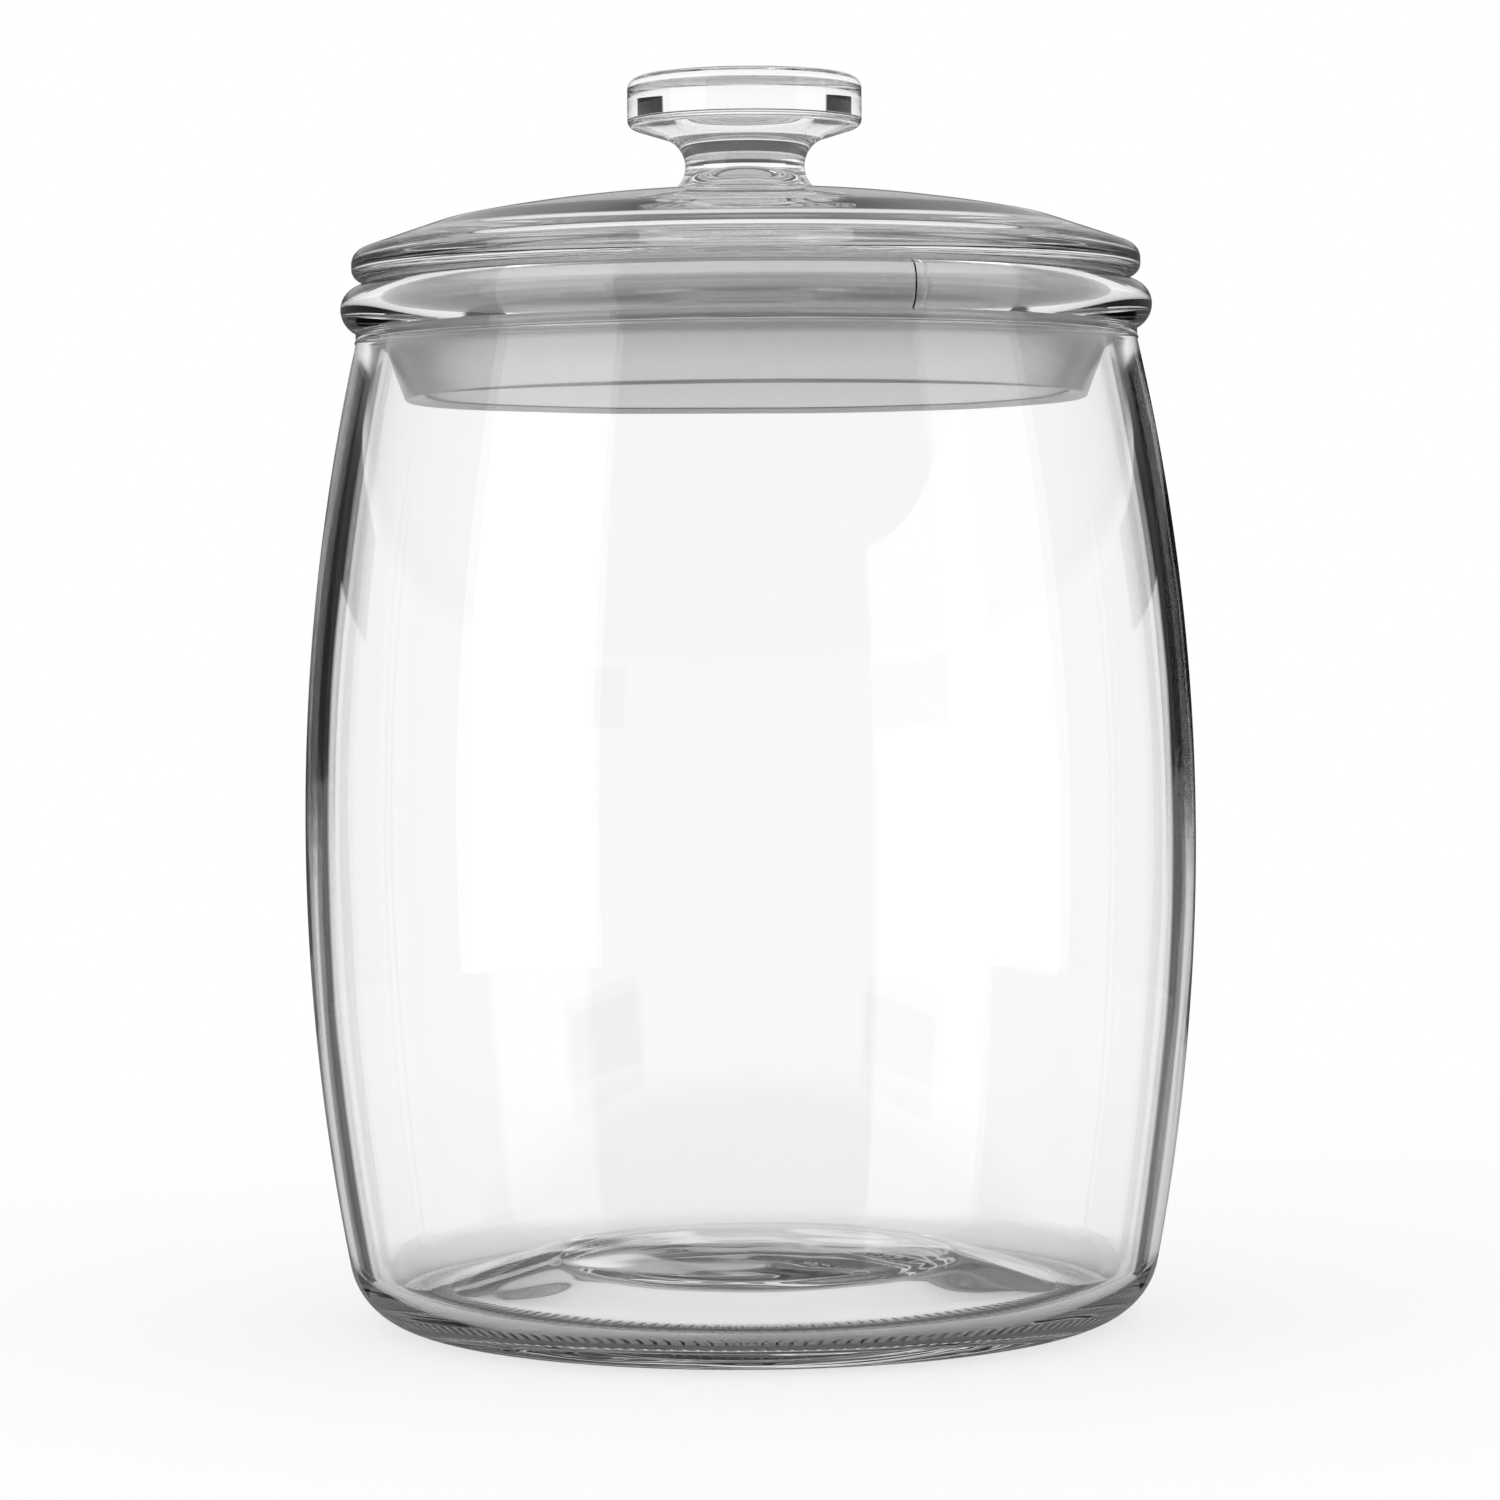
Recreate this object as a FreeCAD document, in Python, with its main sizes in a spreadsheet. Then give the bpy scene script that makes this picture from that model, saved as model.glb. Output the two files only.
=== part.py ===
# FreeCAD 1.1 macro: a lidded glass storage jar, as a parametric document.
#
# Three pieces stand in one frame, each a body of revolution about Z. The origin is
# the middle of the foot, on the surface the jar stands on. Millimetres, +Z up.
#
#   jar   blown glass: barrel-shaped wall, beaded rim, pushed-up bottom
#   lid   pressed glass: shallow dome, hollow plug, waisted stem and disc knob
#   seal  soft plastic ring: flange between rim and lid, sleeve round the plug,
#         tapered skirt hanging into the mouth
#
# Every size that can be set by itself is one row of SIZES. The rows fill the
# spreadsheet "sizes", and each sketch and fillet reads that sheet.

import FreeCAD, Part
import math
import os
import Sketcher

SIZES = (
    # the jar's outside
    ("belly_dia", 175.0, "widest diameter of the jar"),
    ("belly_level", 95.5, "height of the widest place"),
    ("foot_dia", 154.4, "side carried down to the table, before the heel is rounded"),
    ("heel_radius", 14.0, "rounding between side and foot"),
    ("jar_height", 203.0, "top of the rim"),
    ("mouth_dia", 143.2, "bore of the mouth"),
    ("neck_wall", 5.0, "glass thickness at the neck, below the bead"),
    ("neck_land", 2.0, "upright stretch between shoulder and bead"),
    ("bead_overhang", 2.9, "from the neck out to the bead's widest place"),
    ("bead_height", 9.0, "height of the bead, up to the rim"),
    ("rim_land", 3.4, "flat top of the rim, from the bore out"),
    # the jar's inside
    ("wall", 4.75, "glass thickness at the belly"),
    ("mouth_edge", 1.0, "rounding of the mouth's edge"),
    ("foot_wall", 3.5, "from the foot diameter in to the corner of the inside"),
    ("gutter_level", 4.2, "where wall and floor would meet inside if sharp"),
    ("gutter_radius", 8.0, "rounding of that corner"),
    ("gutter_width", 33.1, "from that corner in to the edge of the floor's raised middle"),
    ("plateau_level", 13.7, "height of its edge"),
    ("plateau_crown", 1.0, "rise from that edge to the centre"),
    ("plateau_radius", 12.0, "rounding of that edge"),
    # the push-up under the foot
    ("foot_ring", 17.2, "from the foot's sharp corner in to the edge of the push-up"),
    ("punt_edge", 2.5, "rounding of that edge"),
    ("punt_slope", 22.0, "from that edge in to the top of the push-up's slope"),
    ("punt_height", 6.6, "height of the push-up"),
    ("punt_crown", 0.8, "rise from there to the centre"),
    ("punt_radius", 12.0, "rounding at the top of its slope"),
    # the seal
    ("seal_flange", 1.2, "thickness between rim and lid"),
    ("seal_inset", 0.3, "from the edge of the rim's flat top in to the flange's edge"),
    ("seal_play", 0.15, "clearance to the glass on either side of the sleeve"),
    ("sleeve_wall", 1.2, "thickness of the sleeve round the plug"),
    ("taper_rise", 1.0, "from the plug's end up to where the skirt starts to narrow"),
    ("skirt_drop", 11.1, "from the plug's end down to the end of the skirt"),
    ("skirt_taper", 4.55, "how much the skirt's outer radius narrows"),
    ("skirt_foot", 3.9, "width of the skirt's end"),
    ("skirt_slant", 1.0, "rise of the skirt's end towards the inside"),
    ("plug_gap", 0.6, "from the end of the plug down to the skirt's inner slope"),
    # the lid
    ("lid_inset", 2.2, "from the bead's widest place in to the lid's edge"),
    ("lid_edge", 5.3, "thickness of the lid's edge"),
    ("lid_edge_top", 3.0, "rounding of the edge above"),
    ("lid_edge_flat", 0.1, "upright stretch between the roundings above and below"),
    ("shoulder_run", 17.3, "from the lid's edge in to where the slope turns into the dome"),
    ("shoulder_rise", 6.0, "from the edge's top up to there"),
    ("shoulder_radius", 30.0, "rounding of that turn"),
    ("dome_rise", 6.2, "from the shoulder up to the dome's centre"),
    ("dome_wall", 5.2, "glass thickness at the dome's centre"),
    ("plug_depth", 11.5, "from the rim down to the plug's end"),
    ("plug_wall", 4.8, "thickness of the plug"),
    ("plug_edge", 1.6, "rounding of the plug's end"),
    ("well_step", 4.5, "from the flange up to the underside of the dome at the plug"),
    ("well_radius", 3.0, "rounding between plug and dome inside"),
    # the stem and the knob
    ("waist_dia", 23.4, "thinnest place of the stem"),
    ("waist_rise", 4.6, "from the dome's centre up to the waist"),
    ("stem_flare", 3.5, "from the waist's radius out to that of the stem's foot"),
    ("stem_sink", 1.0, "how far the stem's foot reaches into the dome"),
    ("collar_flare", 4.6, "from the waist's radius out to where the knob's underside starts"),
    ("collar_rise", 5.8, "from the waist up to the collar"),
    ("knob_dia", 46.0, "disc knob"),
    ("knob_slope", 2.1, "rise of the knob's underside, collar to edge"),
    ("knob_height", 9.6, "height of the knob's edge"),
    ("knob_edge_top", 2.4, "rounding of the knob above"),
    ("knob_edge_low", 1.8, "rounding of the knob below"),
    # the hollow under the stem
    ("stem_wall", 3.2, "from the waist's radius in to the throat's, where the hollow enters"),
    ("hollow_flare", 12.5, "from the throat's radius out to the hollow's rim"),
    ("hollow_step", 0.3, "from that rim up to the dome's underside at the centre"),
    ("throat_rise", 3.0, "from the underside's centre up to there"),
    ("hollow_rise", 9.0, "from the underside's centre up to the hollow's top"),
)

# Places that several pieces share, as expressions on the sheet.
RIM = "sizes.jar_height"
BEAD_LOW = "(sizes.jar_height - sizes.bead_height)"
BEAD_MID = "(sizes.jar_height - sizes.bead_height / 2)"
NECK_TOP = "(sizes.jar_height - sizes.bead_height - sizes.neck_land)"
LID_SEAT = "(sizes.jar_height + sizes.seal_flange)"
MOUTH_R = "(sizes.mouth_dia / 2)"
NECK_R = f"({MOUTH_R} + sizes.neck_wall)"
BEAD_R = f"({NECK_R} + sizes.bead_overhang)"
RIM_R = f"({MOUTH_R} + sizes.rim_land)"
SLEEVE_OUT = f"({MOUTH_R} - sizes.seal_play)"
SLEEVE_IN = f"({SLEEVE_OUT} - sizes.sleeve_wall)"
PLUG_OUT = f"({SLEEVE_IN} - sizes.seal_play)"
PLUG_IN = f"({PLUG_OUT} - sizes.plug_wall)"
PLUG_END = "(sizes.jar_height - sizes.plug_depth)"
LID_TOP = f"({LID_SEAT} + sizes.lid_edge)"
SHOULDER = f"({LID_TOP} + sizes.shoulder_rise)"
DOME_TOP = f"({SHOULDER} + sizes.dome_rise)"
DOME_UNDER = f"({DOME_TOP} - sizes.dome_wall)"
WAIST = f"({DOME_TOP} + sizes.waist_rise)"
COLLAR = f"({WAIST} + sizes.collar_rise)"
KNOB_LOW = f"({COLLAR} + sizes.knob_slope)"
KNOB_TOP = f"({KNOB_LOW} + sizes.knob_height)"

# How far a cutting profile reaches past the face that it cuts through.
OVERSHOOT = 2.0

AXIS = "0"
LINE = "line"
ARC_LEVEL_START = "arc whose centre is level with its start"
ARC_LEVEL_END = "arc whose centre is level with its end"
ARC_ON_AXIS = "arc whose centre lies on the Z axis"

ORIGIN_POINT = (-1, 1)
Z_AXIS_LINE = -2
CENTRE = 3


def make_sheet(doc):
    """Fill the spreadsheet: what a size is, its value, and its alias."""
    sheet = doc.addObject("Spreadsheet::Sheet", "sizes")
    for row, (alias, value, meaning) in enumerate(SIZES, start=1):
        sheet.set(f"A{row}", meaning)
        sheet.set(f"B{row}", str(value))
        sheet.setAlias(f"B{row}", alias)
    doc.recompute()
    return sheet


def origin_plane(body, role):
    """Return the plane of a body's own origin that has this role."""
    return next(part for part in body.Origin.OriginFeatures if part.Role == role)


class Outline:
    """A closed chain of lines and arcs in the XZ plane, tied to the sheet.

    Each step is (kind, x, z): the kind of edge, and the expressions of the corner
    that it leads to. The first step's edge closes the chain from the last corner.
    A corner of the chain that is rounded in the sketch has its radius in `rounded`,
    by the step's number.
    """

    def __init__(self, body, sheet, name, steps, rounded):
        self.sheet = sheet
        self.sketch = body.newObject("Sketcher::SketchObject", name)
        self.sketch.AttachmentSupport = [(origin_plane(body, "XZ_Plane"), "")]
        self.sketch.MapMode = "FlatFace"
        self.steps = steps
        self.corners = [
            (float(sheet.evalExpression(x)), float(sheet.evalExpression(z))) for _, x, z in steps
        ]
        self.ends = [self.add_edge(index) for index in range(len(steps))]
        self.join_edges()
        self.place_corners()
        for index, radius in rounded.items():
            self.round_corner(index, radius)

    def add_edge(self, index):
        """Draw the edge into corner `index`; return its two ends as (edge, vertex)."""
        kind = self.steps[index][0]
        start = self.corners[index - 1]
        end = self.corners[index]
        if kind == LINE:
            edge = self.sketch.addGeometry(Part.LineSegment(vector(start), vector(end)))
            return (edge, 1), (edge, 2)
        centre = arc_centre(kind, start, end)
        first = math.atan2(start[1] - centre[1], start[0] - centre[0])
        last = math.atan2(end[1] - centre[1], end[0] - centre[0])
        forward = (last - first) % math.tau < math.pi
        circle = Part.Circle(vector(centre), FreeCAD.Vector(0, 0, 1), math.dist(centre, end))
        angles = (first, last) if forward else (last, first)
        edge = self.sketch.addGeometry(Part.ArcOfCircle(circle, *angles))
        begin, finish = ((edge, 1), (edge, 2)) if forward else ((edge, 2), (edge, 1))
        if kind == ARC_ON_AXIS:
            self.constrain("PointOnObject", edge, CENTRE, Z_AXIS_LINE)
        else:
            level_end = begin if kind == ARC_LEVEL_START else finish
            self.constrain("Horizontal", edge, CENTRE, *level_end)
        return begin, finish

    def join_edges(self):
        """Make each edge start where the one before it ends."""
        for index, (begin, _) in enumerate(self.ends):
            self.constrain("Coincident", *self.ends[index - 1][1], *begin)

    def place_corners(self):
        """Tie both coordinates of every corner to the sheet."""
        for index, (_, finish) in enumerate(self.ends):
            self.place_point(index, finish)

    def place_point(self, index, point):
        """Tie a point to the place that the step with this number gives."""
        _, x, z = self.steps[index]
        if x == AXIS:
            self.constrain("PointOnObject", *point, Z_AXIS_LINE)
        else:
            self.measure("DistanceX", point, self.corners[index][0], f"x{index}", x)
        self.measure("DistanceY", point, self.corners[index][1], f"z{index}", z)

    def round_corner(self, index, radius):
        """Round the corner between an edge and the next; both still aim at its place."""
        edges = (self.ends[index][1][0], self.ends[index + 1][0][0])
        corner = vector(self.corners[index])
        value = float(self.sheet.evalExpression(radius))
        rounding = self.sketch.GeometryCount
        beside = [halfway(self.sketch.Geometry[edge]) for edge in edges]
        self.sketch.fillet(*edges, *beside, value, True, False)
        point = self.sketch.addGeometry(Part.Point(corner), True)
        self.place_point(index, (point, 1))
        for edge in edges:
            self.constrain("PointOnObject", point, 1, edge)
        bound = self.constrain("Radius", rounding, value)
        self.sketch.renameConstraint(bound, f"r{index}")
        self.sketch.setExpression(f"Constraints.r{index}", radius)

    def constrain(self, kind, *where):
        return self.sketch.addConstraint(Sketcher.Constraint(kind, *where))

    def measure(self, kind, point, value, name, expression):
        """Add a distance from the origin, named and bound to its expression."""
        index = self.constrain(kind, *ORIGIN_POINT, *point, value)
        self.sketch.renameConstraint(index, name)
        self.sketch.setExpression(f"Constraints.{name}", expression)


def vector(point):
    return FreeCAD.Vector(point[0], point[1], 0)


def halfway(edge):
    return edge.value((edge.FirstParameter + edge.LastParameter) / 2)


def arc_centre(kind, start, end):
    """Centre of the arc from start to end that its kind asks for."""
    run = end[0] - start[0]
    rise = end[1] - start[1]
    if kind == ARC_ON_AXIS:
        middle = (start[1] + end[1]) / 2
        return 0.0, middle + run * (start[0] + end[0]) / (2 * rise)
    radius = (run * run + rise * rise) / (2 * run)
    if kind == ARC_LEVEL_START:
        return start[0] + radius, start[1]
    return end[0] - radius, end[1]


def make_body(doc, label):
    body = doc.addObject("PartDesign::Body", label)
    body.Label = label
    return body


def revolve(body, sheet, kind, name, steps, rounded):
    """Add or cut the full turn of an outline about Z."""
    outline = Outline(body, sheet, f"{name}_profile", steps, rounded)
    feature = body.newObject(kind, name)
    feature.Profile = outline.sketch
    feature.ReferenceAxis = (outline.sketch, ["V_Axis"])
    feature.Angle = 360.0
    body.Tip = feature
    body.Document.recompute()
    return feature


def add_turned(body, sheet, name, steps, rounded={}):
    return revolve(body, sheet, "PartDesign::Revolution", name, steps, rounded)


def cut_turned(body, sheet, name, steps):
    """Cut an outline's full turn, and make sure that it did cut."""
    before = body.Shape.Volume
    feature = revolve(body, sheet, "PartDesign::Groove", name, steps, {})
    if not feature.Shape.Volume < before:
        raise RuntimeError(f"{name} cuts nothing")
    return feature


def round_edge(body, sheet, name, corner_r, level, radius):
    """Fillet the circular edge that has this radius and level."""
    tip = body.Tip
    wanted_radius = float(sheet.evalExpression(corner_r))
    wanted_level = float(sheet.evalExpression(level))
    found = []
    for number, edge in enumerate(tip.Shape.Edges, start=1):
        if edge.Degenerated or not isinstance(edge.Curve, Part.Circle):
            continue
        off_radius = abs(edge.Curve.Radius - wanted_radius)
        off_level = abs(edge.Curve.Center.z - wanted_level)
        if off_radius < 0.01 and off_level < 0.01:
            found.append(f"Edge{number}")
    if not found:
        raise RuntimeError(f"{name}: no edge of radius {wanted_radius} at {wanted_level}")
    feature = body.newObject("PartDesign::Fillet", name)
    feature.Base = (tip, found)
    feature.setExpression("Radius", radius)
    body.Tip = feature
    body.Document.recompute()
    return feature


def make_jar(doc, sheet):
    """The jar: outside turned solid, then the inside and the push-up cut out."""
    body = make_body(doc, "jar")
    foot_r = "(sizes.foot_dia / 2)"
    gutter_r = f"({foot_r} - sizes.foot_wall)"
    plateau_r = f"({gutter_r} - sizes.gutter_width)"
    punt_r = f"({foot_r} - sizes.foot_ring)"
    punt_top_r = f"({punt_r} - sizes.punt_slope)"
    add_turned(body, sheet, "outside", (
        (LINE, AXIS, "0"),
        (LINE, foot_r, "0"),
        (ARC_LEVEL_END, "sizes.belly_dia / 2", "sizes.belly_level"),
        (ARC_LEVEL_START, NECK_R, NECK_TOP),
        (LINE, NECK_R, BEAD_LOW),
        (ARC_LEVEL_END, BEAD_R, BEAD_MID),
        (ARC_LEVEL_START, RIM_R, RIM),
        (LINE, AXIS, RIM),
    ))
    round_edge(body, sheet, "heel", foot_r, "0", "sizes.heel_radius")
    cut_turned(body, sheet, "inside", (
        (LINE, AXIS, f"{RIM} + {OVERSHOOT}"),
        (LINE, MOUTH_R, f"{RIM} + {OVERSHOOT}"),
        (LINE, MOUTH_R, NECK_TOP),
        (ARC_LEVEL_END, "sizes.belly_dia / 2 - sizes.wall", "sizes.belly_level"),
        (ARC_LEVEL_START, gutter_r, "sizes.gutter_level"),
        (LINE, plateau_r, "sizes.plateau_level"),
        (ARC_ON_AXIS, AXIS, "sizes.plateau_level + sizes.plateau_crown"),
    ))
    round_edge(body, sheet, "gutter", gutter_r, "sizes.gutter_level", "sizes.gutter_radius")
    round_edge(body, sheet, "plateau", plateau_r, "sizes.plateau_level", "sizes.plateau_radius")
    round_edge(body, sheet, "mouth", MOUTH_R, RIM, "sizes.mouth_edge")
    cut_turned(body, sheet, "punt", (
        (LINE, AXIS, f"-{OVERSHOOT}"),
        (LINE, punt_r, f"-{OVERSHOOT}"),
        (LINE, punt_r, "0"),
        (LINE, punt_top_r, "sizes.punt_height"),
        (ARC_ON_AXIS, AXIS, "sizes.punt_height + sizes.punt_crown"),
    ))
    round_edge(body, sheet, "punt_top", punt_top_r, "sizes.punt_height", "sizes.punt_radius")
    round_edge(body, sheet, "bearing_ring", punt_r, "0", "sizes.punt_edge")
    return body


def make_lid(doc, sheet):
    """The lid: domed plate with its plug, then knob and stem, then the hollow."""
    body = make_body(doc, "lid")
    lid_r = f"({BEAD_R} - sizes.lid_inset)"
    shoulder_r = f"({lid_r} - sizes.shoulder_run)"
    edge_low = "(sizes.lid_edge - sizes.lid_edge_top - sizes.lid_edge_flat)"
    well_edge = f"({LID_SEAT} + sizes.well_step)"
    add_turned(body, sheet, "plate", (
        (LINE, AXIS, DOME_TOP),
        (ARC_ON_AXIS, shoulder_r, SHOULDER),
        (LINE, lid_r, LID_TOP),
        (LINE, lid_r, LID_SEAT),
        (LINE, PLUG_OUT, LID_SEAT),
        (LINE, PLUG_OUT, PLUG_END),
        (LINE, PLUG_IN, PLUG_END),
        (LINE, PLUG_IN, well_edge),
        (ARC_ON_AXIS, AXIS, DOME_UNDER),
    ), rounded={1: "sizes.shoulder_radius"})
    round_edge(body, sheet, "edge_top", lid_r, LID_TOP, "sizes.lid_edge_top")
    round_edge(body, sheet, "edge_low", lid_r, LID_SEAT, edge_low)
    round_edge(body, sheet, "plug_outer_end", PLUG_OUT, PLUG_END, "sizes.plug_edge")
    round_edge(body, sheet, "plug_inner_end", PLUG_IN, PLUG_END, "sizes.plug_edge")
    round_edge(body, sheet, "well", PLUG_IN, well_edge, "sizes.well_radius")
    stem_foot = f"{DOME_TOP} - sizes.stem_sink"
    waist_r = "(sizes.waist_dia / 2)"
    knob_r = "(sizes.knob_dia / 2)"
    add_turned(body, sheet, "knob", (
        (LINE, AXIS, stem_foot),
        (LINE, f"{waist_r} + sizes.stem_flare", stem_foot),
        (ARC_LEVEL_END, waist_r, WAIST),
        (ARC_LEVEL_START, f"{waist_r} + sizes.collar_flare", COLLAR),
        (LINE, knob_r, KNOB_LOW),
        (LINE, knob_r, KNOB_TOP),
        (LINE, AXIS, KNOB_TOP),
    ))
    round_edge(body, sheet, "knob_top", knob_r, KNOB_TOP, "sizes.knob_edge_top")
    round_edge(body, sheet, "knob_low", knob_r, KNOB_LOW, "sizes.knob_edge_low")
    throat_r = f"({waist_r} - sizes.stem_wall)"
    hollow_r = f"({throat_r} + sizes.hollow_flare)"
    cut_turned(body, sheet, "hollow", (
        (LINE, AXIS, f"{DOME_UNDER} - {OVERSHOOT}"),
        (LINE, hollow_r, f"{DOME_UNDER} - {OVERSHOOT}"),
        (LINE, hollow_r, f"{DOME_UNDER} - sizes.hollow_step"),
        (LINE, throat_r, f"{DOME_UNDER} + sizes.throat_rise"),
        (ARC_ON_AXIS, AXIS, f"{DOME_UNDER} + sizes.hollow_rise"),
    ))
    return body


def make_seal(doc, sheet):
    """The seal: one section, turned about the jar's axis."""
    body = make_body(doc, "seal")
    flange_r = f"({RIM_R} - sizes.seal_inset)"
    skirt_end = f"({PLUG_END} - sizes.skirt_drop)"
    skirt_r = f"({SLEEVE_OUT} - sizes.skirt_taper)"
    add_turned(body, sheet, "ring", (
        (LINE, SLEEVE_OUT, RIM),
        (LINE, flange_r, RIM),
        (LINE, flange_r, LID_SEAT),
        (LINE, SLEEVE_IN, LID_SEAT),
        (LINE, SLEEVE_IN, f"{PLUG_END} - sizes.plug_gap"),
        (LINE, f"{skirt_r} - sizes.skirt_foot", f"{skirt_end} + sizes.skirt_slant"),
        (LINE, skirt_r, skirt_end),
        (LINE, SLEEVE_OUT, f"{PLUG_END} + sizes.taper_rise"),
    ))
    return body


def check(doc, bodies):
    """Stop on any failed object, and on a piece that is not one valid solid."""
    for item in doc.Objects:
        if "Invalid" in item.State or "Error" in item.State:
            raise RuntimeError(f"{item.Name} failed: {item.State}")
    for body in bodies:
        shape = body.Shape
        if shape.isNull() or not shape.isValid() or len(shape.Solids) != 1:
            raise RuntimeError(f"{body.Label} is not one valid solid")


def export(bodies):
    """Write each piece to parts/, and say how big it is."""
    os.makedirs("parts", exist_ok=True)
    for body in bodies:
        body.Shape.exportStep(f"parts/{body.Label}.step")
        box = body.Shape.optimalBoundingBox()
        print(
            f"{body.Label}: {body.Shape.Volume / 1000:.1f} cm3,"
            f" {box.XLength:.1f} wide, z {box.ZMin:.1f} to {box.ZMax:.1f}"
        )


def main():
    doc = FreeCAD.newDocument("storage_jar")
    sheet = make_sheet(doc)
    bodies = [make_jar(doc, sheet), make_lid(doc, sheet), make_seal(doc, sheet)]
    doc.recompute()
    check(doc, bodies)
    export(bodies)


main()
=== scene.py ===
"""Lidded glass storage jar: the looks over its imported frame.

Laid out as an add-on and run as a script. Three pieces are turned about the jar's axis, each
from an outline of straight and round strokes: the jar's blown glass, the lid's pressed glass
and the soft sealing ring between them. Metres, +Z up, origin in the middle of the foot.
"""

import math

import bmesh
import bpy
from bpy.props import FloatProperty, FloatVectorProperty, IntProperty, PointerProperty
from mathutils import Matrix, Vector, geometry, noise


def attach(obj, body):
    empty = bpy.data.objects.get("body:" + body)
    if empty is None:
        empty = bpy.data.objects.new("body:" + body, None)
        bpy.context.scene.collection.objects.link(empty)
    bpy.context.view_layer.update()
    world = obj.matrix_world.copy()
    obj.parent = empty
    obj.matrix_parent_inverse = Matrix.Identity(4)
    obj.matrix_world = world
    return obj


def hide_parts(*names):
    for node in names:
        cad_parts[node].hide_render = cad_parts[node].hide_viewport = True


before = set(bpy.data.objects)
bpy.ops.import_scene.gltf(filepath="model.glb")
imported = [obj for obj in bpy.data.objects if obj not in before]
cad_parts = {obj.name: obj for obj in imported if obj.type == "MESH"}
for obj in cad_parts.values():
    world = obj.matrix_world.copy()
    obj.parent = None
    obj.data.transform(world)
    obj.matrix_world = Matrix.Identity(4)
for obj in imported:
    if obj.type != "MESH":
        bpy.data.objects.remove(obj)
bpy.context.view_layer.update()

bl_info = {
    "name": "Glass storage jar",
    "version": (1, 0, 0),
    "blender": (4, 5, 0),
    "location": "View3D > Sidebar > Jar",
    "description": "Turns a lidded glass storage jar with its sealing ring, and lights it",
    "category": "Add Mesh",
}

BODY = "root"
MM = 0.001

# ---------------------------------------------------------------- settings


def length(name, millimetres, description):
    """A length property whose default is given in millimetres."""
    return FloatProperty(
        name=name,
        description=description,
        default=millimetres * MM,
        min=0.0,
        precision=5,
        subtype="DISTANCE",
        unit="LENGTH",
    )


def share(name, value, description):
    return FloatProperty(
        name=name, description=description, default=value, min=0.0, max=1.0, subtype="FACTOR"
    )


def amount(name, value, description):
    return FloatProperty(name=name, description=description, default=value, min=0.0, precision=4)


def turn(name, degrees, description):
    return FloatProperty(
        name=name,
        description=description,
        default=math.radians(degrees),
        subtype="ANGLE",
        unit="ROTATION",
    )


def tint(name, colour, description):
    return FloatVectorProperty(
        name=name,
        description=description,
        default=colour,
        size=3,
        min=0.0,
        max=1.0,
        subtype="COLOR",
    )


class JarSizes(bpy.types.PropertyGroup):
    """Sizes of the blown jar."""

    belly_radius: length("Belly", 87.46, "Widest radius of the jar")
    belly_level: length("Belly level", 95.5, "Height of the widest place")
    foot_radius: length("Foot", 77.2, "Side carried down to the table")
    heel: length("Heel", 14.0, "Rounding between side and foot")
    height: length("Height", 203.0, "Top of the rim")
    mouth_radius: length("Mouth", 71.6, "Bore of the mouth")
    mouth_edge: length("Mouth edge", 1.0, "Rounding of the mouth's edge")
    neck_wall: length("Neck wall", 5.0, "Glass thickness at the neck, below the bead")
    neck_land: length("Neck land", 2.0, "Upright stretch between shoulder and bead")
    parting: length("Parting line", 0.25, "Ridge that the mould's halves leave round the neck")
    bead_overhang: length("Bead overhang", 2.9, "From the neck out to the bead's widest place")
    bead_height: length("Bead height", 9.0, "Height of the bead, up to the rim")
    rim_land: length("Rim land", 3.4, "Flat top of the rim, from the bore out")
    wall: length("Wall", 4.75, "Glass thickness at the belly")
    foot_wall: length("Foot wall", 3.5, "From the foot radius in to the corner of the inside")
    gutter_level: length("Gutter level", 4.2, "Where wall and floor would meet inside if sharp")
    gutter: length("Gutter", 8.0, "Rounding of that corner")
    gutter_width: length("Gutter width", 33.1, "From that corner in to the raised middle")
    plateau_level: length("Plateau level", 13.7, "Height of the raised middle's edge")
    plateau_crown: length("Plateau crown", 1.0, "Rise from that edge to the centre")
    plateau_edge: length("Plateau edge", 12.0, "Rounding of that edge")
    foot_ring: length("Foot ring", 17.2, "From the foot radius in to the push-up")
    punt_edge: length("Push-up edge", 2.5, "Rounding of the push-up's outer edge")
    punt_slope: length("Push-up slope", 22.0, "From that edge in to the top of the slope")
    punt_height: length("Push-up height", 6.6, "Height of the push-up")
    punt_crown: length("Push-up crown", 0.8, "Rise from there to the centre")
    punt_top_edge: length("Push-up top edge", 12.0, "Rounding at the top of its slope")
    wall_wave: length("Wall wave", 0.12, "How uneven the inside of the wall is")
    floor_wave: length("Floor wave", 0.9, "How uneven the inside of the floor is")


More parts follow.
